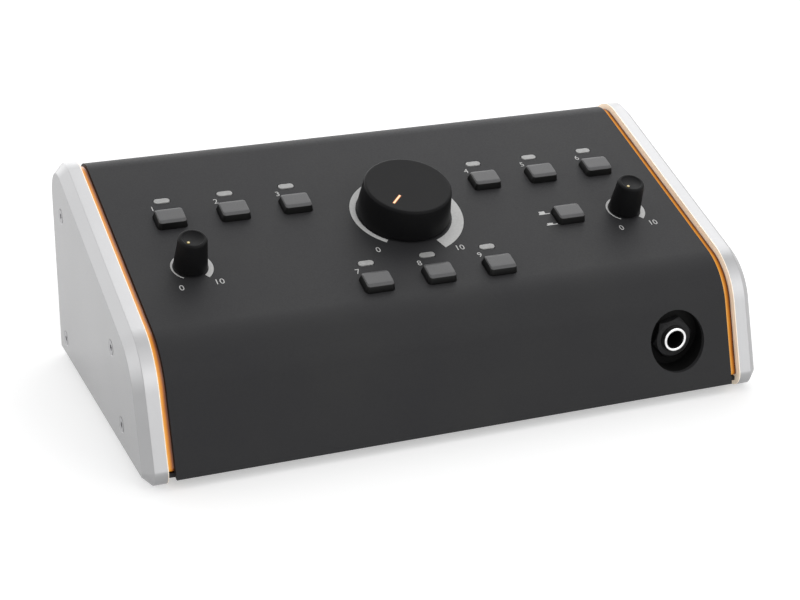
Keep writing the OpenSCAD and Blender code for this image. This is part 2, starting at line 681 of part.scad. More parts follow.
// ---- Sockets --------------------------------------------------------------------
bush_proud = 0.4;
module headphone_jack() color("#161616") difference() {
    union() {
        translate([phones_x - jack_body / 2, cup_back_y + cup_wall, phones_z - jack_body / 2])
            cube([jack_body, jack_bore_l - cup_wall - phones_nut_h, jack_body]);
        rod_y(phones_x, cup_back_y - phones_nut_h - bush_proud, phones_z, jack_bush_r,
            phones_nut_h + bush_proud + cup_wall + cut);
    }
    rod_y(phones_x, cup_back_y - 2 * phones_nut_h, phones_z, jack_bore_r,
        jack_bore_l - ferrule_proud + phones_nut_h);
}
module headphone_ferrule() color("#e6e6e6") difference() {
    rod_y(phones_x, phones_mouth_y, phones_z, ferrule_r, ferrule_proud - bush_proud);
    rod_y(phones_x, phones_mouth_y - cut, phones_z, jack_bore_r, ferrule_proud + 2 * cut);
}
module headphone_nut() color("#1a1a1a") difference() {
    hex_y(phones_x, cup_back_y - phones_nut_h, phones_z, phones_flats, phones_nut_h, phones_nut_turn);
    rod_y(phones_x, cup_back_y - phones_nut_h - cut, phones_z, jack_bush_r + thread_gap,
        phones_nut_h + 2 * cut);
}
// A cup behind the front face: its tube follows the leaning face, its wall is upright.
cup_limit = outline(-sheet_t, -sheet_t, 2 * cut, 0, -sheet_t);
module headphone_recess_cup() color("#101010") difference() {
    intersection() {
        rod_y(phones_x, front_y, phones_z, recess_r + cup_wall, cup_back_y + cup_wall - front_y);
        side_plate(cup_limit, phones_x - 2 * recess_r, 4 * recess_r);
    }
    rod_y(phones_x, front_y - cut, phones_z, recess_r, cup_back_y - front_y + cut);
    rod_y(phones_x, cup_back_y - cut, phones_z, jack_bush_r + fit_gap, cup_wall + 2 * cut);
}

module rear_jack(x) difference() {
    union() {
        translate([x - jack_body / 2, rear_y - sheet_t - jack_bore_l + jack_proud, parts_z])
            cube([jack_body, jack_bore_l - jack_proud, rear_jack_z + jack_body / 2 - parts_z]);
        rod_y(x, rear_y - sheet_t - cut, rear_jack_z, jack_bush_r, sheet_t + cut + jack_proud);
    }
    rod_y(x, rear_y + jack_proud - jack_bore_l, rear_jack_z, jack_bore_r, jack_bore_l + cut);
}
module output_jacks() color("#161616") for (i = [0 : 5]) rear_jack(rear_jack_x[i]);
module input_jacks() color("#161616") for (i = [6 : 7]) rear_jack(rear_jack_x[i]);
module rear_jack_nuts() color("#1a1a1a") for (x = rear_jack_x) difference() {
    hex_y(x, rear_y, rear_jack_z, jack_nut_flats, jack_nut_h);
    rod_y(x, rear_y - cut, rear_jack_z, jack_bush_r + thread_gap, jack_nut_h + 2 * cut);
}
module mini_jack() color("#161616") difference() {
    union() {
        translate([upper_jack_x - mini_body / 2, rear_y - sheet_t - mini_l, upper_row_z - mini_body / 2])
            cube([mini_body, mini_l, mini_body]);
        rod_y(upper_jack_x, rear_y - sheet_t - cut, upper_row_z, mini_bush_r, sheet_t + cut + mini_proud);
    }
    rod_y(upper_jack_x, rear_y + mini_proud - mini_l, upper_row_z, mini_r, mini_l + cut);
}
module power_inlet() color("#161616") {
    difference() {
        union() {
            translate([inlet_x - inlet_w / 2, rear_y - inlet_l, parts_z])
                cube([inlet_w, inlet_l - sheet_t, rear_jack_z + inlet_w / 2 - parts_z]);
            translate([inlet_x - inlet_w / 2, rear_y - inlet_l, rear_jack_z - inlet_w / 2])
                cube([inlet_w, inlet_l + inlet_proud, inlet_w]);
        }
        rod_y(inlet_x, rear_y - inlet_bore_l, rear_jack_z, inlet_r, inlet_bore_l + cut);
    }
    rod_y(inlet_x, rear_y - inlet_bore_l - cut, rear_jack_z, inlet_pin_r, inlet_bore_l);
}

// Power switch: a bezel on the rear wall, a body behind it, and a rocker on a pin across it.
rocker_pin_r = 1;
pin_well_l = rocker_w + 2 * (rocker_pin_l + shaft_foot_gap);
rocker_y = rear_y + bezel_proud - 0.45 * rocker_r;
module power_switch() color("#161616") difference() {
    union() {
        translate([switch_x - bezel_w / 2, rear_y, upper_row_z - bezel_h / 2])
            cube([bezel_w, bezel_proud, bezel_h]);
        translate([switch_x - switch_w / 2, rear_y - switch_depth, upper_row_z - switch_h / 2])
            cube([switch_w, switch_depth + bezel_proud / 2, switch_h]);
    }
    rod_x(switch_x - rocker_w / 2 - fit_gap, rocker_y, upper_row_z, rocker_r + fit_gap, rocker_w + 2 * fit_gap);
    translate([switch_x - rocker_w / 2 - fit_gap, rocker_y, upper_row_z - rocker_r - fit_gap])
        cube([rocker_w + 2 * fit_gap, 2 * rocker_r, 2 * (rocker_r + fit_gap)]);
    rod_x(switch_x - pin_well_l / 2, rocker_y, upper_row_z, rocker_pin_r + shaft_running, pin_well_l);
}
// The rocker at rest lies pressed at its lower half; its two faces meet in a shallow valley.
module power_rocker() color("#0c0c0c") translate([switch_x, rocker_y, upper_row_z]) union() {
    intersection() {
        rod_x(-rocker_w / 2, 0, 0, rocker_r, rocker_w);
        rotate([rocker_tilt, 0, 0]) rotate([90, 0, 90]) translate([0, 0, -rocker_w])
            linear_extrude(2 * rocker_w) polygon([[-rocker_r, -rocker_r], [-rocker_r, rocker_r],
                [0.62 * rocker_r, rocker_r], [0.46 * rocker_r, 0], [0.62 * rocker_r, -rocker_r]]);
    }
    rod_x(-rocker_w / 2 - rocker_pin_l, 0, 0, rocker_pin_r, rocker_w + 2 * rocker_pin_l);
}

top_cover();
base_plate();
left_cheek();
right_cheek();
left_accent_plate();
right_accent_plate();
left_end_plate();
right_end_plate();
cheek_screws();
rubber_feet();
foot_screws();
base_screws();
control_board();
control_board_posts();
control_board_screws();
main_board();
main_board_standoffs();
main_board_screws();
main_board_parts();
receiver_module();
ribbon_cable();
volume_knob();
volume_pointer();
volume_shaft();
volume_control();
volume_nut();
aux_knob();
aux_pointer();
aux_shaft();
aux_control();
phones_knob();
phones_pointer();
phones_shaft();
phones_control();
stereo_button();
aux_button();
pair_button();
speaker_1_button();
speaker_2_button();
speaker_3_button();
mono_button();
dim_button();
mute_button();
selector_button();
button_switches();
indicator_windows();
indicator_leds();
headphone_jack();
headphone_ferrule();
headphone_nut();
headphone_recess_cup();
output_jacks();
input_jacks();
rear_jack_nuts();
mini_jack();
power_inlet();
power_switch();
power_rocker();
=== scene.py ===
"""A desktop studio monitor controller: black sheet-steel housing between two aluminium cheeks.

The sections follow the object as it is put together: housing, cheeks, amber plates, fasteners and
feet, dials, push buttons, indicator windows, print, sockets, rear fittings and the boards inside.
"""
import json
import math

import bpy
import numpy as np
from mathutils import Matrix, Vector


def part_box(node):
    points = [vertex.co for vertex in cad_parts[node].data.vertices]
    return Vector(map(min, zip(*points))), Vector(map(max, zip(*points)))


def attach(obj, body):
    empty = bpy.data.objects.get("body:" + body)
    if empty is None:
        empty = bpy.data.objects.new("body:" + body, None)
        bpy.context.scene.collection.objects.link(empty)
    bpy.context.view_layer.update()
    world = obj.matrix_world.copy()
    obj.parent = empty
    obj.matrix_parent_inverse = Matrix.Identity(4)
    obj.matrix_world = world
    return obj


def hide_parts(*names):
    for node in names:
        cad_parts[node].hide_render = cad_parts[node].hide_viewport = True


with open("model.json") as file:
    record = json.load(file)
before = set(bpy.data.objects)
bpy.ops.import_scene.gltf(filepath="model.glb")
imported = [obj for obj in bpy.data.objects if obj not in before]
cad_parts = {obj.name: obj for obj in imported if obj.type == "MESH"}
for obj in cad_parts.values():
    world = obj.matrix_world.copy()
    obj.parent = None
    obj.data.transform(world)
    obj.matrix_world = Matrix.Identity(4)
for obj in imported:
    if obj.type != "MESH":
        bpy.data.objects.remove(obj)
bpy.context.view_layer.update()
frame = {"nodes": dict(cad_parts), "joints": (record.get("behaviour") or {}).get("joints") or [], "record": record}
nodes = frame["nodes"]
joints = {joint["name"]: joint for joint in frame["joints"]}
MM = 0.001

# ---- Housing: cover, bottom plate and end plates ---------------------------------------------
# One sheet of steel is folded over the front, the sloping panel and the back. A flat plate closes
# it below and two plates close its ends. All are powder coated matt black with a fine texture.


def linear(colour):
    """A six-digit sRGB hex colour as linear red, green, blue and alpha."""
    srgb = np.array([int(colour[i:i + 2], 16) for i in (0, 2, 4)]) / 255
    rgb = np.where(srgb <= 0.04045, srgb / 12.92, ((srgb + 0.055) / 1.055) ** 2.4)
    return (*rgb.tolist(), 1.0)


def add(tree, kind, inputs=(), **attributes):
    """A new shader node; each of inputs is a value for that socket or the output that feeds it."""
    node = tree.nodes.new("ShaderNode" + kind)
    for name, value in attributes.items():
        setattr(node, name, value)
    for name, value in dict(inputs).items():
        if isinstance(value, bpy.types.NodeSocket):
            tree.links.new(value, node.inputs[name])
        else:
            node.inputs[name].default_value = value
    return node


def new_material(name):
    """An empty material's tree, its Principled shader and the object coordinates in metres."""
    material = bpy.data.materials.new(name)
    material.use_nodes = True
    tree = material.node_tree
    tree.nodes.clear()
    shader = add(tree, "BsdfPrincipled")
    add(tree, "OutputMaterial", {"Surface": shader.outputs["BSDF"]})
    place = add(tree, "TexCoord").outputs["Object"]
    return material, tree, shader, place


def grain(tree, place, size, detail=2.0):
    """Noise from 0 to 1 whose grains are about size metres across."""
    noise = add(tree, "TexNoise", {"Vector": place, "Scale": 1 / size, "Detail": detail})
    return noise.outputs["Fac"]


def shade_between(tree, factor, low, high):
    """A colour that runs from low to high, two hex colours, as factor goes from 0.3 to 0.7."""
    ramp = add(tree, "ValToRGB", {"Fac": factor})
    ramp.color_ramp.elements[0].position = 0.3
    ramp.color_ramp.elements[1].position = 0.7
    ramp.color_ramp.elements[0].color = linear(low)
    ramp.color_ramp.elements[1].color = linear(high)
    return ramp.outputs["Color"]


def span(tree, factor, low, high):
    """A number that runs from low to high as factor goes from 0.3 to 0.7."""
    return add(tree, "MapRange", {"Value": factor, "From Min": 0.3, "From Max": 0.7,
                                  "To Min": low, "To Max": high}).outputs["Result"]


def relief(tree, shader, height, depth, strength=1.0):
    """Bump of that depth in metres on the shader."""
    bump = add(tree, "Bump", {"Height": height, "Distance": depth, "Strength": strength})
    tree.links.new(bump.outputs["Normal"], shader.inputs["Normal"])


def powder_coat():
    """Matt black polyester powder coat: dark, a little uneven, with a faint orange-peel grain."""
    material, tree, shader, place = new_material("powder_coated_steel")
    cloud = grain(tree, place, 30 * MM)
    peel = grain(tree, place, 0.7 * MM, detail=3)
    tree.links.new(shade_between(tree, cloud, "28282a", "2c2c2d"), shader.inputs["Base Color"])
    tree.links.new(span(tree, peel, 0.52, 0.62), shader.inputs["Roughness"])
    shader.inputs["Specular IOR Level"].default_value = 0.2
    relief(tree, shader, peel, 0.03 * MM, 0.6)
    return material


def soften(piece, edge, segments=3, angle=30):
    """Live modifiers on a CAD piece: its corners welded, flats cleaned and edges rounded.

    edge is the rounding's width in metres, at edges of more than angle degrees. The last modifier
    turns each corner's normal to its largest face, so that flats stay flat to the eye."""
    piece.data.polygons.foreach_set("use_smooth", np.ones(len(piece.data.polygons), bool))
    weld = piece.modifiers.new("weld", "WELD")
    weld.merge_threshold = 0.002 * MM
    flats = piece.modifiers.new("flats", "DECIMATE")
    flats.decimate_type = "DISSOLVE"
    flats.angle_limit = math.radians(0.5)
    bevel = piece.modifiers.new("edges", "BEVEL")
    bevel.width = edge
    bevel.segments = segments
    bevel.limit_method = "ANGLE"
    bevel.angle_limit = math.radians(angle)
    bevel.harden_normals = True
    bevel.miter_outer = "MITER_ARC"
    shading = piece.modifiers.new("shading", "WEIGHTED_NORMAL")
    shading.mode = "FACE_AREA"
    shading.weight = 50


def dress(names, material, edge=0.0, **options):
    """Gives CAD nodes their material, and rounds their edges where edge is not 0."""
    for name in names:
        piece = nodes[name]
        piece.data.materials.clear()
        piece.data.materials.append(material)
        if edge:
            soften(piece, edge, **options)


coat = powder_coat()
dress(["top_cover"], coat, 0.25 * MM)
dress(["base_plate", "left_end_plate", "right_end_plate"], coat, 0.15 * MM)

# ---- Cheeks ----------------------------------------------------------------------------------
# Two plates of 7.8 mm aluminium, milled to the outline with a 3.2 mm chamfer round the outer face,
# bead blasted and clear anodised. Four countersunk screws hold each against its end plate.

# The strip of the cheek's rim beside the amber plate, from its inner face: dull as milled, and given painted
# light, a pale warm colour and a glow.
LIT_STRIP_FULL, LIT_STRIP_END = 0.08 * MM, 0.4 * MM
LIT_STRIP_PAINTED_GLOW = 0.22


def blasted_aluminium():
    """Bead-blasted anodised aluminium: a pale satin metal with no direction to its grain.

    The beads' pits are drawn at 0.35 mm, about three times the real size, so that they show. The
    strip beside the amber plate is dull as milled, and its pale warm colour and glow are painted light,
    for the light on its rounded edge and the light from the plate."""
    material, tree, shader, place = new_material("blasted_aluminium")
    cloud = grain(tree, place, 40 * MM)
    beads = grain(tree, place, 0.35 * MM, detail=2)
    inner_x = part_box("right_cheek")[0][0]
    x = add(tree, "SeparateXYZ", {0: place}).outputs["X"]
    across = add(tree, "Math", {0: x}, operation="ABSOLUTE").outputs["Value"]
    milled_strip_and_painted_light = add(tree, "MapRange", {
        "Value": across, "From Min": inner_x + LIT_STRIP_FULL, "From Max": inner_x + LIT_STRIP_END,
        "To Min": 1.0, "To Max": 0.0}).outputs["Result"]
    blasted = shade_between(tree, cloud, "9e9e9f", "a3a3a4")
    # Painted light: the strip beside the amber plate is pale and warm and glows.
    mix = add(tree, "Mix", {0: milled_strip_and_painted_light, 6: blasted, 7: linear("fbeedd")}, data_type="RGBA")
    strip_painted_glow = add(tree, "Math", {0: milled_strip_and_painted_light, 1: LIT_STRIP_PAINTED_GLOW}, operation="MULTIPLY")
    metal = add(tree, "Math", {0: milled_strip_and_painted_light, 1: -0.75, 2: 1.0}, operation="MULTIPLY_ADD")
    satin = span(tree, beads, 0.3, 0.38)
    rough = add(tree, "Math", {0: milled_strip_and_painted_light, 1: 0.25, 2: satin}, operation="MULTIPLY_ADD")
    tree.links.new(mix.outputs[2], shader.inputs["Base Color"])
    tree.links.new(strip_painted_glow.outputs["Value"], shader.inputs["Emission Strength"])
    tree.links.new(metal.outputs["Value"], shader.inputs["Metallic"])
    tree.links.new(rough.outputs["Value"], shader.inputs["Roughness"])
    shader.inputs["Emission Color"].default_value = linear("f4e2c8")
    relief(tree, shader, beads, 0.012 * MM, 0.5)
    return material


dress(["left_cheek", "right_cheek"], blasted_aluminium(), 0.55 * MM, segments=4, angle=20)

# ---- Amber plates ----------------------------------------------------------------------------
# A 2.5 mm plate of clear amber acrylic lies between each cheek and the housing. Only its polished
# edge shows, as a line of painted light: a painted highlight on its left side, painted shade on its
# right and a painted glow, for the light that acrylic carries to its edges.

# A painted glow on the amber edge, for the light that the sheet gathers.
PAINTED_EDGE_GLOW = 0.4


def amber_acrylic(name, node):
    """Cast amber acrylic, its edge coloured with painted light: golden on the left, brown beyond.

    A ramp runs across the sheet from its left face to its right one, clouded along its length: a
    painted highlight on the left and painted shade on the right. The same colours glow by
    PAINTED_EDGE_GLOW, a painted glow for the light that the sheet has gathered."""
    material, tree, shader, place = new_material(name)
    low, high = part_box(node)
    x = add(tree, "SeparateXYZ", {0: place}).outputs["X"]
    share = add(tree, "MapRange", {"Value": x, "From Min": low[0], "From Max": high[0]})
    cloud = add(tree, "Math", {0: grain(tree, place, 9 * MM), 1: 0.16, 2: -0.08},
                operation="MULTIPLY_ADD")
    clouded = add(tree, "Math", {0: share.outputs["Result"], 1: cloud.outputs["Value"]},
                  operation="ADD")
    ramp = add(tree, "ValToRGB", {"Fac": clouded.outputs["Value"]})
    stops = ramp.color_ramp.elements
    # Painted highlight, golden, on the sheet's left side; painted shade, brown, on its right.
    stops[0].color, stops[1].color = linear("b87a26"), linear("2a1002")
    between = ((0.12, "e6b052"), (0.36, "d08a24"), (0.58, "b66c12"), (0.78, "6a3406"))
    for position, colour in between:
        stops.new(position).color = linear(colour)
    tree.links.new(ramp.outputs["Color"], shader.inputs["Base Color"])
    tree.links.new(ramp.outputs["Color"], shader.inputs["Emission Color"])
    shader.inputs["Emission Strength"].default_value = PAINTED_EDGE_GLOW
    shader.inputs["Roughness"].default_value = 0.16
    shader.inputs["IOR"].default_value = 1.49
    shader.inputs["Specular IOR Level"].default_value = 0.35
    return material


for side in ("left", "right"):
    plate = side + "_accent_plate"
    dress([plate], amber_acrylic(side + "_amber_acrylic", plate), 1.1 * MM, segments=5)

# ---- Fasteners and feet ----------------------------------------------------------------------
# Zinc-plated screws, posts, standoffs and shafts, and the cans of the three rotary controls. Four
# moulded rubber feet are screwed on under the bottom plate.


def plated_steel():
    """Zinc-plated steel: grey metal, clouded by handling."""
    material, tree, shader, place = new_material("plated_steel")
    cloud = grain(tree, place, 3 * MM)
    tree.links.new(shade_between(tree, cloud, "8e8e90", "a6a6a8"), shader.inputs["Base Color"])
    shader.inputs["Metallic"].default_value = 1.0
    tree.links.new(span(tree, cloud, 0.28, 0.42), shader.inputs["Roughness"])
    return material


def foot_rubber():
    """Moulded black rubber: dull, with a faint bloom."""
    material, tree, shader, place = new_material("foot_rubber")
    bloom = grain(tree, place, 1.5 * MM, detail=4)
    tree.links.new(shade_between(tree, bloom, "161616", "232322"), shader.inputs["Base Color"])
    shader.inputs["Roughness"].default_value = 0.85
    relief(tree, shader, bloom, 0.05 * MM, 0.4)
    return material


steel = plated_steel()
dress(["cheek_screws", "foot_screws", "base_screws", "control_board_screws", "main_board_screws",
       "volume_nut"], steel, 0.08 * MM, segments=2)
dress(["control_board_posts", "main_board_standoffs", "volume_shaft", "aux_shaft", "phones_shaft",
       "volume_control", "aux_control", "phones_control"], steel)
dress(["rubber_feet"], foot_rubber(), 0.4 * MM)

# ---- Dials -----------------------------------------------------------------------------------
# Three moulded knobs on 6 mm shafts. The volume knob is a plain drum with a coned side and an
# amber line let into its top; the level knobs are slim and dished, with a pale dot.

RING_POINTS = 192


def new_piece(name, points, faces, material, sharp=40):
    """A mesh object from an array of points and a list of faces, smooth but for sharp edges."""
    mesh = bpy.data.meshes.new(name)
    mesh.from_pydata(points.reshape(-1, 3), [], faces)
    mesh.polygons.foreach_set("use_smooth", np.ones(len(mesh.polygons), bool))
    mesh.set_sharp_from_angle(angle=math.radians(sharp))
    mesh.materials.append(material)
    piece = bpy.data.objects.new(name, mesh)
    bpy.context.scene.collection.objects.link(piece)
    return piece


def skin_faces(rings, count, looped=False):
    """Quads between rings of count points each; point i of ring k has the number k * count + i.

    A looped skin joins its last ring to its first. Any other has a fan at each end, to the two end
    centres that follow the last ring."""
    i = np.arange(count)
    after = (i + 1) % count
    low = np.arange(rings if looped else rings - 1)[:, None] * count
    high = (low + count) % (rings * count)
    faces = np.stack([low + i, low + after, high + after, high + i], -1).reshape(-1, 4).tolist()
    if not looped:
        first, last, top = rings * count, rings * count + 1, (rings - 1) * count
        faces += np.stack([after, i, np.full(count, first)], 1).tolist()
        faces += np.stack([top + i, top + after, np.full(count, last)], 1).tolist()
    return faces


def panel_frame(joint):
    """The panel's frame at a dial: its centre, and the right, up-slope and outward axes."""
    centre, out = np.array(joints[joint]["pos_m"]), np.array(joints[joint]["axis"])
    right = np.array([1.0, 0.0, 0.0])
    return centre, np.stack([right, np.cross(out, right), out])


def turned(profile):
    """Rings of a profile of radii and heights turned about the axis, then its two end centres."""
    angle = np.linspace(0, 2 * np.pi, RING_POINTS, endpoint=False)
    radius, height = profile[:, :1], np.repeat(profile[:, 1:], RING_POINTS, 1)
    rings = np.stack([radius * np.cos(angle), radius * np.sin(angle), height], -1).reshape(-1, 3)
    return np.concatenate([rings, [[0, 0, profile[0, 1]], [0, 0, profile[-1, 1]]]])


def arc(centre_r, centre_h, radius, start, end, steps=7):
    """Radii and heights along an arc from start to end degrees, 0 outwards and 90 upwards."""
    turn = np.radians(np.linspace(start, end, steps))
    return np.stack([centre_r + radius * np.cos(turn), centre_h + radius * np.sin(turn)], 1)


def knob_plastic():
    """Matt black moulded ABS with a hint of sheen.

    Its spark-eroded grain is drawn at 0.4 mm, a few times the real size, so that it shows."""
    material, tree, shader, place = new_material("knob_plastic")
    fine = grain(tree, place, 0.4 * MM)
    tree.links.new(shade_between(tree, fine, "121213", "161617"), shader.inputs["Base Color"])
    tree.links.new(span(tree, fine, 0.42, 0.52), shader.inputs["Roughness"])
    shader.inputs["Specular IOR Level"].default_value = 0.07
    relief(tree, shader, fine, 0.01 * MM, 0.4)
    return material


def panel_extent(node, joint):
    """Lowest and highest corner of a node in the panel's frame at a dial, in metres."""
    centre, axes = panel_frame(joint)
    flat = np.zeros(len(nodes[node].data.vertices) * 3, np.float32)
    nodes[node].data.vertices.foreach_get("co", flat)
    local = (flat.reshape(-1, 3) - centre) @ axes.T
    return local.min(0), local.max(0)


knob_black = knob_plastic()
BORE_R, BORE_DEPTH = 9.5 * MM, 3.0 * MM
TAPER, FOOT_EDGE, TOP_EDGE = 1.1 * MM, 0.35 * MM, 1.0 * MM
low, high = panel_extent("volume_knob", "volume_turn")
foot_r, foot_h, top_h = high[0], low[2], high[2]
top_r = foot_r - TAPER
profile = np.concatenate([
    [[BORE_R, foot_h + BORE_DEPTH], [BORE_R, foot_h]],
    arc(foot_r - FOOT_EDGE, foot_h + FOOT_EDGE, FOOT_EDGE, -90, 0),
    arc(top_r - TOP_EDGE, top_h - TOP_EDGE, TOP_EDGE, 5, 84, 12),
    [[top_r - 1.35 * TOP_EDGE, top_h - 0.02 * MM], [0.3 * top_r, top_h - 0.03 * MM]],
])
centre, axes = panel_frame("volume_turn")
volume_drum = new_piece("volume_drum", centre + turned(profile) @ axes,
                        skin_faces(len(profile), RING_POINTS), knob_black, 50)
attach(volume_drum, "volume_dial")
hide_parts("volume_knob")

RIM_R, RIM_WIDTH, RIM_EDGE, DISH = 4.8 * MM, 1.1 * MM, 0.75 * MM, 0.4 * MM
SKIRT_EDGE, LIP = 0.3 * MM, 0.25 * MM
for side in ("aux", "phones"):
    low, high = panel_extent(side + "_knob", side + "_turn")
    skirt_r, foot_h, rim_h = high[0], low[2], high[2]
    profile = np.concatenate([
        [[3.2 * MM, foot_h]],
        arc(skirt_r - SKIRT_EDGE, foot_h + SKIRT_EDGE, SKIRT_EDGE, -90, 4, 6),
        arc(RIM_R - RIM_EDGE, rim_h - RIM_EDGE, RIM_EDGE, 4, 90, 9),
        arc(RIM_R - RIM_WIDTH + 0.1 * MM, rim_h - LIP, LIP, 90, 150, 4),
        [[RIM_R - RIM_WIDTH - 0.45 * MM, rim_h - DISH], [0.3 * MM, rim_h - DISH]],
    ])
    centre, axes = panel_frame(side + "_turn")
    knob = new_piece(side + "_level_knob", centre + turned(profile) @ axes,
                     skin_faces(len(profile), RING_POINTS), knob_black, 40)
    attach(knob, side + "_dial")
    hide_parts(side + "_knob")


# A painted glow on the knobs' pale marks.
MARK_PAINTED_GLOW = 0.4


def filled_mark(name, node, across, core, edge, reach):
    """Pale paint filled into a knob: its core colour runs out to the edge colour over reach metres.

    The distance is from the node's middle, or with across, a direction, from its middle line. The
    paint has a painted glow of MARK_PAINTED_GLOW, which keeps it as bright as it looks in the dark knob."""
    material, tree, shader, place = new_material(name)
    low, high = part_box(node)
    middle = (np.array(low) + np.array(high)) / 2
    offset = add(tree, "VectorMath", {0: place, 1: middle}, operation="SUBTRACT").outputs["Vector"]
    if across is None:
        away = add(tree, "VectorMath", {0: offset}, operation="LENGTH").outputs["Value"]
    else:
        aside = add(tree, "VectorMath", {0: offset, 1: across}, operation="DOT_PRODUCT")
        away = add(tree, "Math", {0: aside.outputs["Value"]}, operation="ABSOLUTE").outputs["Value"]
    share = add(tree, "Math", {0: away, 1: reach}, operation="DIVIDE").outputs["Value"]
    colour = shade_between(tree, share, core, edge)
    tree.links.new(colour, shader.inputs["Base Color"])
    tree.links.new(colour, shader.inputs["Emission Color"])
    shader.inputs["Emission Strength"].default_value = MARK_PAINTED_GLOW
    shader.inputs["Roughness"].default_value = 0.4
    return material


# The pointer lies at -135 degrees from the panel's right at rest.
POINTER_TURN = math.radians(-135)
centre, axes = panel_frame("volume_turn")
across_pointer = np.array([-math.sin(POINTER_TURN), math.cos(POINTER_TURN), 0]) @ axes
inlay = filled_mark("amber_inlay", "volume_pointer", across_pointer, "ffdcae", "c0661a", 0.48 * MM)
dress(["volume_pointer"], inlay, 0.15 * MM)
for side in ("aux", "phones"):
    dot = filled_mark(side + "_dot", side + "_pointer", None, "fffbe6", "a08c48", 0.9 * MM)
    dress([side + "_pointer"], dot, 0.1 * MM)

# ---- Push buttons ----------------------------------------------------------------------------
# Ten two-shot moulded caps on push switches: steep black walls, and a dark grey top with a wide
# shallow bevel towards the front and back whose edge catches the light.


def rounded_rectangle(half_w, half_d, corner, count):
    """Points round a rectangle of those half sides, each corner a quarter circle."""
    turn = np.linspace(0, 2 * np.pi, count, endpoint=False) + np.pi / count
    cos, sin = np.cos(turn), np.sin(turn)
    return np.stack([np.sign(cos) * (half_w - corner) + corner * cos,
                     np.sign(sin) * (half_d - corner) + corner * sin], 1)


def cap_plastic():
    """Two-shot moulded ABS: grey on the cap's top and its bevel, black where cap_top is 0.

    Its fine grain is drawn at 0.3 mm, coarser than the real one, so that it shows."""
    material, tree, shader, place = new_material("button_plastic")
    fine = grain(tree, place, 0.3 * MM)
    grey = shade_between(tree, fine, "545455", "5c5c5d")
    top = add(tree, "Attribute", attribute_name="cap_top").outputs["Fac"]
    mix = add(tree, "Mix", {0: top, 6: linear("080808"), 7: grey}, data_type="RGBA")
    tree.links.new(mix.outputs[2], shader.inputs["Base Color"])
    tree.links.new(span(tree, fine, 0.36, 0.44), shader.inputs["Roughness"])
    shader.inputs["Specular IOR Level"].default_value = 0.3
    relief(tree, shader, fine, 0.008 * MM, 0.4)
    return material


CAP_POINTS = 96
# Half width, half depth, corner radius and height of each ring, the heights from the top face:
# foot, wall, rounded shoulder, bevel, rounded edge and top. The first three rings are black.
CAP_RINGS = np.array([
    (5.18, 4.18, 1.2, -5.4), (5.18, 4.18, 1.2, -2.6), (4.78, 3.68, 1.0, -0.56),
    (4.71, 3.58, 0.97, -0.46), (4.67, 3.5, 0.93, -0.39), (4.57, 2.74, 0.75, -0.08),
    (4.54, 2.64, 0.7, -0.04), (4.48, 2.54, 0.65, -0.01), (4.4, 2.45, 0.6, 0.0),
    (3.6, 1.7, 0.4, 0.0)]) * MM
BLACK_RINGS = 3
cap_finish = cap_plastic()
centre, axes = panel_frame("volume_turn")
for body, members in frame["record"]["behaviour"]["bodies"].items():
    button = members[0]
    if not button.endswith("_button"):
        continue
    low, high = panel_extent(button, "volume_turn")
    middle, top_h = ((low + high) / 2)[:2], high[2]
    rings = [np.column_stack([middle + rounded_rectangle(half_w, half_d, corner, CAP_POINTS),
                              np.full(CAP_POINTS, top_h + height)])
             for half_w, half_d, corner, height in CAP_RINGS]
    ends = [[*middle, top_h + CAP_RINGS[0, 3]], [*middle, top_h]]
    points = np.concatenate(rings + [ends])
    cap = new_piece(button + "_cap", centre + points @ axes, skin_faces(len(rings), CAP_POINTS),
                    cap_finish, 30)
    cap_top = np.zeros(len(points), np.float32)
    cap_top[BLACK_RINGS * CAP_POINTS:] = 1.0
    cap_top[-2] = 0.0
    cap.data.attributes.new("cap_top", "FLOAT", "POINT").data.foreach_set("value", cap_top)
    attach(cap, body)
    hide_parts(button)

# ---- Indicator windows -----------------------------------------------------------------------
# Nine light pipes moulded in frosted acrylic, each with two round ends. They stand just proud of
# their slots in the panel, over the diodes of the control board.


def frosted_plastic():
    """Frosted clear acrylic over a white diode, unlit: an even pale grey, a little soft inside."""
    material, tree, shader, place = new_material("frosted_window")
    cloud = grain(tree, place, 1.5 * MM)
    tree.links.new(shade_between(tree, cloud, "959594", "a1a1a0"), shader.inputs["Base Color"])
    shader.inputs["Roughness"].default_value = 0.35
    shader.inputs["Subsurface Weight"].default_value = 0.2
    shader.inputs["Subsurface Radius"].default_value = (0.001, 0.001, 0.001)
    return material


def diode_epoxy():
    """Clear epoxy over a pale yellow phosphor, as on an unlit white diode."""
    material, tree, shader, place = new_material("diode_epoxy")
    phosphor = grain(tree, place, 0.8 * MM)
    tree.links.new(shade_between(tree, phosphor, "cfcab0", "dcd8c4"), shader.inputs["Base Color"])
    shader.inputs["Roughness"].default_value = 0.12
    return material


dress(["indicator_windows"], frosted_plastic(), 0.2 * MM)
dress(["indicator_leds"], diode_epoxy())

# ---- Print -----------------------------------------------------------------------------------
# Silk-screened pale grey ink on the panel: a crescent scale round each dial, plain numbers at its
# ends and by the buttons, and two small marks beside the selector button.

INK_LIFT = 0.03 * MM


def screen_ink():
    """Screen-printed grey ink: matt, with a faint mottle."""
    material, tree, shader, place = new_material("screen_ink")
    mottle = grain(tree, place, 0.8 * MM)
    tree.links.new(shade_between(tree, mottle, "bfbfbe", "c9c9c8"), shader.inputs["Base Color"])
    shader.inputs["Roughness"].default_value = 0.6
    return material


ink = screen_ink()


def sheet_on_panel(name, grid, joint):
    """A printed patch; grid is rows by columns by 2, across and up the slope from a dial."""
    rows, columns = grid.shape[:2]
    number = np.arange(rows * columns).reshape(rows, columns)
    quads = (number[:-1, :-1], number[1:, :-1], number[1:, 1:], number[:-1, 1:])
    faces = np.stack(quads, -1).reshape(-1, 4)
    centre, axes = panel_frame(joint)
    points = np.concatenate([grid.reshape(-1, 2), np.full((rows * columns, 1), INK_LIFT)], 1)
    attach(new_piece(name, centre + points @ axes, faces.tolist(), ink), "housing")


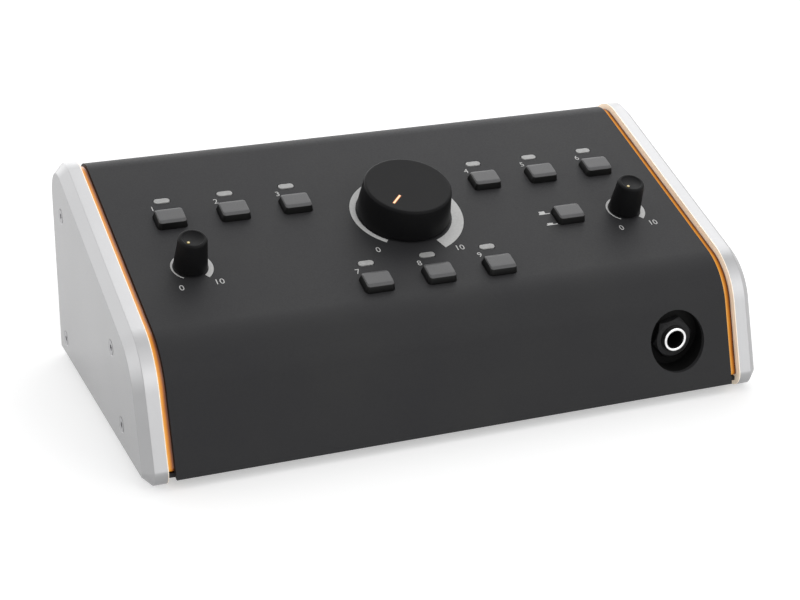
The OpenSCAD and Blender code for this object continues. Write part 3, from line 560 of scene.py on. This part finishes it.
def crescent(name, joint, inner, outer, start, sweep):
    """A scale that widens clockwise from start degrees, over sweep degrees.

    inner and outer are its radii at both ends. The inner one grows evenly along the sweep, and the
    outer one as the share of the sweep to the power 1.2."""
    t = np.linspace(0, 1, 161)
    turn = np.radians(start - sweep * t)
    radius = np.stack([inner[0] + (inner[1] - inner[0]) * t,
                       outer[0] + (outer[1] - outer[0]) * t ** 1.2])
    grid = np.stack([radius * np.cos(turn), radius * np.sin(turn)], -1)
    sheet_on_panel(name, grid[::-1], joint)


crescent("volume_scale", "volume_turn", (16.5 * MM, 17.2 * MM), (18.0 * MM, 21.9 * MM), -129, 300)
for side in ("aux", "phones"):
    crescent(side + "_scale", side + "_turn", (5.9 * MM, 5.95 * MM), (6.3 * MM, 7.8 * MM),
             -126, 287)


def printed_bar(name, joint, across, up, width, height):
    """A small printed bar, its middle at across and up from a dial's centre."""
    x = across + width * np.array([-0.5, 0.5])
    y = up + height * np.array([-0.5, 0.5])
    sheet_on_panel(name, np.stack(np.meshgrid(x, y), -1)[::-1], joint)


# Two marks beside the selector, each a panel line with a button on it: one stands out, one is in.
LINE_WIDTH, LINE_HEIGHT, STUD_WIDTH = 4.2 * MM, 0.45 * MM, 2.2 * MM
low, high = panel_extent("selector_button", "volume_turn")
for name, across, up, stud in (("out", -3.0, 2.6, 1.3), ("in", -2.6, -3.4, 0.7)):
    left, level = low[0] + across * MM, (low[1] + high[1]) / 2 + up * MM
    printed_bar(f"mark_{name}_line", "volume_turn", left, level, LINE_WIDTH, LINE_HEIGHT)
    printed_bar(f"mark_{name}_stud", "volume_turn", left - 0.6 * MM,
                level + (0.22 + stud / 2) * MM, STUD_WIDTH, stud * MM)


# The font's size for a number one unit high.
SIZE_OF_HEIGHT = 1.37


def printed_number(name, text, joint, across, up, height):
    """A plain number on the panel, middle at across and up from a dial's centre.

    Each point of the font's flat outline goes that far along the panel's right and up axes."""
    curve = bpy.data.curves.new(name, "FONT")
    curve.body = text
    curve.size = height * SIZE_OF_HEIGHT
    curve.align_x = "CENTER"
    curve.align_y = "CENTER"
    letter = bpy.data.objects.new(name + "_curve", curve)
    mesh = bpy.data.meshes.new_from_object(letter)
    bpy.data.objects.remove(letter)
    flat = np.zeros(len(mesh.vertices) * 3, np.float32)
    mesh.vertices.foreach_get("co", flat)
    flat = flat.reshape(-1, 3)
    centre, axes = panel_frame(joint)
    points = centre + (flat * [1, 1, 0] + [across, up, INK_LIFT]) @ axes
    mesh.vertices.foreach_set("co", points.astype(np.float32).ravel())
    mesh.materials.clear()
    mesh.materials.append(ink)
    piece = bpy.data.objects.new(name, mesh)
    bpy.context.scene.collection.objects.link(piece)
    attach(piece, "housing")


NUMBERED = ("stereo_button", "aux_button", "pair_button", "speaker_1_button", "speaker_2_button",
            "speaker_3_button", "mono_button", "dim_button", "mute_button")
BUTTON_NUMBER, SCALE_NUMBER = 2.5 * MM, 2.6 * MM
for count, name in enumerate(NUMBERED, 1):
    low, high = panel_extent(name, "volume_turn")
    printed_number(f"number_{count}", str(count), "volume_turn", (low[0] + high[0]) / 2 - 4.2 * MM,
                   high[1] + 3.1 * MM, BUTTON_NUMBER)
printed_number("volume_scale_0", "0", "volume_turn", -15.6 * MM, -17.2 * MM, SCALE_NUMBER)
printed_number("volume_scale_10", "10", "volume_turn", 12.6 * MM, -21.6 * MM, SCALE_NUMBER)
for side in ("aux", "phones"):
    printed_number(side + "_scale_0", "0", side + "_turn", -5.6 * MM, -9.6 * MM, SCALE_NUMBER)
    printed_number(side + "_scale_10", "10", side + "_turn", 7.2 * MM, -9.0 * MM, SCALE_NUMBER)

# ---- Headphone socket ------------------------------------------------------------------------
# A black plastic 6.35 mm socket with a chromed throat and a hexagonal nut, sunk in a round cup
# behind the leaning front so that its axis is level.


def black_plastic(name, low, high):
    """Black moulded nylon, satin, clouded between two tones at 0.6 mm."""
    material, tree, shader, place = new_material(name)
    fine = grain(tree, place, 0.6 * MM)
    tree.links.new(shade_between(tree, fine, low, high), shader.inputs["Base Color"])
    tree.links.new(span(tree, fine, 0.3, 0.4), shader.inputs["Roughness"])
    shader.inputs["Specular IOR Level"].default_value = 0.13
    return material


def chrome():
    """Bright nickel-chrome plate on brass."""
    material, tree, shader, place = new_material("chrome_ring")
    cloud = grain(tree, place, 2 * MM)
    tree.links.new(shade_between(tree, cloud, "e6e6e6", "f2f2f2"), shader.inputs["Base Color"])
    shader.inputs["Metallic"].default_value = 1.0
    tree.links.new(span(tree, cloud, 0.06, 0.12), shader.inputs["Roughness"])
    return material


def moulded_black():
    """Black moulding deep in a recess, darker than the socket's nylon as painted shade, with hardly any sheen."""
    material, tree, shader, place = new_material("recess_plastic_painted_shade")
    fine = grain(tree, place, 0.6 * MM)
    tree.links.new(shade_between(tree, fine, "060606", "0a0a0a"), shader.inputs["Base Color"])
    shader.inputs["Roughness"].default_value = 0.65
    shader.inputs["Specular IOR Level"].default_value = 0.12
    return material


nylon = black_plastic("black_plastic", "0e0e0e", "141414")
dress(["headphone_jack"], nylon, 0.15 * MM, segments=2)
# The cup is darker than the nylon: painted shade in the recess.
dress(["headphone_recess_cup"], moulded_black(), 0.15 * MM, segments=2)
dress(["headphone_ferrule"], chrome(), 0.3 * MM)


def nut_rings(flats, first_corner, bore, thickness, count):
    """Closed rings of a hexagonal nut: the bore's back, back, side, front face and bore's front.

    At each angle the side's radius is half the flats over the cosine of the angle from the nearest
    flat's middle. The front face is a circle of 0.97 of half the flats, and a 45 degree cone falls
    from it to the side."""
    angle = np.linspace(0, 2 * np.pi, count, endpoint=False)
    from_flat = (angle - math.radians(first_corner)) % (math.pi / 3) - math.pi / 6
    side = flats / 2 / np.cos(from_flat)
    face = np.full(count, 0.97 * flats / 2)
    inner = np.full(count, bore)
    back, front = np.zeros(count), np.full(count, thickness)
    radius = np.stack([inner, side, side, face, inner])
    height = np.stack([back, back, front - (side - face), front, front])
    return np.stack([radius * np.cos(angle), radius * np.sin(angle), height], -1).reshape(-1, 3)


NUT_POINTS = 180
NUT_FLATS, NUT_BORE_R, FIRST_CORNER = 13.2 * MM, 4.75 * MM, 12
low, high = (np.array(corner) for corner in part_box("headphone_nut"))
nut_base = np.array([(low[0] + high[0]) / 2, high[1], (low[2] + high[2]) / 2])
outwards = np.array([[1, 0, 0], [0, 0, 1], [0, -1, 0]])
rings = nut_rings(NUT_FLATS, FIRST_CORNER, NUT_BORE_R, high[1] - low[1], NUT_POINTS)
# The nut's nylon is a lighter grey than the socket's: painted light on the nut's faces.
nut_nylon_painted_light = black_plastic("nut_plastic_painted_light", "202021", "2a2a2b")
hexagon_nut = new_piece("headphone_hexagon_nut", nut_base + rings @ outwards,
                        skin_faces(5, NUT_POINTS, looped=True), nut_nylon_painted_light, 20)
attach(hexagon_nut, "housing")
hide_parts("headphone_nut")

# ---- Rear fittings ---------------------------------------------------------------------------
# Eight line sockets held by hexagonal nuts, a 3.5 mm socket, the supply inlet and a rocker switch,
# all of black moulded nylon and set in holes of the cover's back.

dress(["output_jacks", "input_jacks", "mini_jack", "power_inlet", "power_switch"], nylon,
      0.2 * MM, segments=2)
dress(["rear_jack_nuts", "power_rocker"], nylon, 0.35 * MM)

# ---- Boards and wiring inside ----------------------------------------------------------------
# Two glass-epoxy boards with green resist on posts and standoffs, their switches and parts, the
# receiver module, and the vinyl ribbon between the boards.


def circuit_board():
    """Green solder resist over copper: lighter tracks in rows 1.25 mm apart."""
    material, tree, shader, place = new_material("circuit_board")
    tracks = add(tree, "TexBrick", {"Vector": place, "Scale": 1 / (5 * MM), "Mortar Size": 0.06,
                                    "Color1": linear("14512b"), "Color2": linear("175a30"),
                                    "Mortar": linear("2c7a44")})
    tree.links.new(tracks.outputs["Color"], shader.inputs["Base Color"])
    shader.inputs["Roughness"].default_value = 0.3
    return material


def ribbon_vinyl():
    """Grey ribbon cable: ridged conductors side by side.

    The wave's bands lie pi / 10 of its inverse scale apart, here 1.25 mm."""
    material, tree, shader, place = new_material("ribbon_vinyl")
    wave = add(tree, "TexWave", {"Vector": place, "Scale": 1 / (1.27 * MM * math.pi)},
               wave_type="BANDS", bands_direction="X")
    ridge = wave.outputs["Fac"]
    tree.links.new(shade_between(tree, ridge, "6d6f72", "95979a"), shader.inputs["Base Color"])
    shader.inputs["Roughness"].default_value = 0.45
    relief(tree, shader, ridge, 0.2 * MM)
    return material


dress(["control_board", "main_board", "receiver_module"], circuit_board())
dress(["main_board_parts", "button_switches"], nylon)
dress(["ribbon_cable"], ribbon_vinyl())

# ---- Floor, light and camera -----------------------------------------------------------------
# A white paper floor in a studio with soft panels in front, behind and at the left, two lamps
# above, and the photograph's view.

FLOOR_SIZE = 6.0
# The paper's own light where it is seen or mirrored, which with the studio's makes it white.
PAPER_LIFT = 0.44
floor_mesh = bpy.data.meshes.new("floor")
corners = np.array([[-1, -1, 0], [1, -1, 0], [1, 1, 0], [-1, 1, 0]]) * FLOOR_SIZE / 2
floor_mesh.from_pydata(corners.tolist(), [], [[0, 1, 2, 3]])
floor = bpy.data.objects.new("floor", floor_mesh)
bpy.context.scene.collection.objects.link(floor)


def seen_rays(tree):
    """1 for a ray from the camera, off gloss or through glass, 0 for one that only lights."""
    path = add(tree, "LightPath").outputs
    mirrored = add(tree, "Math", {0: path["Is Glossy Ray"], 1: path["Is Transmission Ray"]},
                   operation="ADD").outputs["Value"]
    return add(tree, "Math", {0: path["Is Camera Ray"], 1: mirrored},
               operation="MAXIMUM").outputs["Value"]


def floor_paper():
    """White studio paper, lifted to white where the camera sees it or metal and glass show it."""
    material, tree, shader, place = new_material("floor_paper")
    shader.inputs["Base Color"].default_value = linear("e2e2e2")
    shader.inputs["Roughness"].default_value = 0.9
    shader.inputs["Specular IOR Level"].default_value = 0.1
    shader.inputs["Emission Color"].default_value = linear("ffffff")
    lift = add(tree, "Math", {0: seen_rays(tree), 1: PAPER_LIFT}, operation="MULTIPLY")
    tree.links.new(lift.outputs["Value"], shader.inputs["Emission Strength"])
    return material


floor_mesh.materials.append(floor_paper())

# Each panel of the studio: the way towards it, the half angle it fades out over, its strength.
# Between them the studio is white where it is seen or mirrored, and lights by STUDIO_GLOW.
STUDIO_GLOW = 0.25
STUDIO_PANELS = (
    ((0.35, -0.92, 0.2), 45, 1.1),
    ((0.35, -0.6, 0.72), 35, 0.85),
    ((0.0, 1.0, 0.25), 55, 1.32),
    ((-0.8, 0.25, 0.55), 40, 0.7),
    ((-0.93, -0.2, 0.42), 28, 0.7),
)
world = bpy.data.worlds.new("studio")
bpy.context.scene.world = world
world.use_nodes = True
tree = world.node_tree
tree.nodes.clear()
direction = add(tree, "TexCoord").outputs["Generated"]
glow = STUDIO_GLOW
for towards, half_angle, strength in STUDIO_PANELS:
    unit = np.array(towards) / np.linalg.norm(towards)
    facing = add(tree, "VectorMath", {0: direction, 1: unit}, operation="DOT_PRODUCT")
    fade = math.cos(math.radians(half_angle))
    panel = add(tree, "MapRange", {"Value": facing.outputs["Value"], "From Min": fade,
                                   "From Max": 1.0, "To Min": 0.0, "To Max": strength},
                interpolation_type="SMOOTHSTEP").outputs["Result"]
    glow = add(tree, "Math", {0: panel, 1: glow}, operation="ADD").outputs["Value"]
glow = add(tree, "Math", {0: seen_rays(tree), 1: 1.0 - STUDIO_GLOW, 2: glow},
           operation="MULTIPLY_ADD")
studio = add(tree, "Background", {"Color": linear("ffffff"), "Strength": glow.outputs["Value"]})
add(tree, "OutputWorld", {"Surface": studio.outputs["Background"]})

# Two square lamps that face the object: where each stands, its side in metres, its power in watts.
LAMPS = (
    ("key_lamp", (0.45, 0.35, 0.8), 0.7, 2.3),
    ("top_lamp", (0.05, 0.15, 1.1), 1.3, 1.5),
)
LIT_POINT = Vector((0, 0, 0.03))
for name, place, side, power in LAMPS:
    lamp = bpy.data.lights.new(name, "AREA")
    lamp.size = side
    lamp.energy = power
    holder = bpy.data.objects.new(name, lamp)
    holder.location = place
    holder.rotation_mode = "QUATERNION"
    holder.rotation_quaternion = (LIT_POINT - Vector(place)).to_track_quat("-Z", "Y")
    bpy.context.scene.collection.objects.link(holder)

# The view was solved from the housing's edges in the photograph.
CAMERA_TARGET = np.array([3.381, 10.46, 21.964]) * MM
CAMERA_DISTANCE = 672.5 * MM
azimuth, elevation, roll = (math.radians(angle) for angle in (-22.536, 22.236, 0.641))
camera = bpy.data.objects.new("camera", bpy.data.cameras.new("camera"))
bpy.context.scene.collection.objects.link(camera)
back = np.array([math.sin(azimuth) * math.cos(elevation),
                 -math.cos(azimuth) * math.cos(elevation), math.sin(elevation)])
right = np.array([math.cos(azimuth), math.sin(azimuth), 0.0])
up = np.cross(back, right)
rolled_right = math.cos(roll) * right + math.sin(roll) * up
rolled_up = -math.sin(roll) * right + math.cos(roll) * up
turn = Matrix(np.stack([rolled_right, rolled_up, back], 1).tolist()).to_4x4()
camera.matrix_world = Matrix.Translation((CAMERA_TARGET + back * CAMERA_DISTANCE).tolist()) @ turn
camera.data.sensor_width = 36.0
camera.data.lens = 84.455
camera.data.clip_start = 0.05
camera.data.clip_end = 50.0
bpy.context.scene.camera = camera
bpy.context.scene.view_settings.view_transform = "Standard"
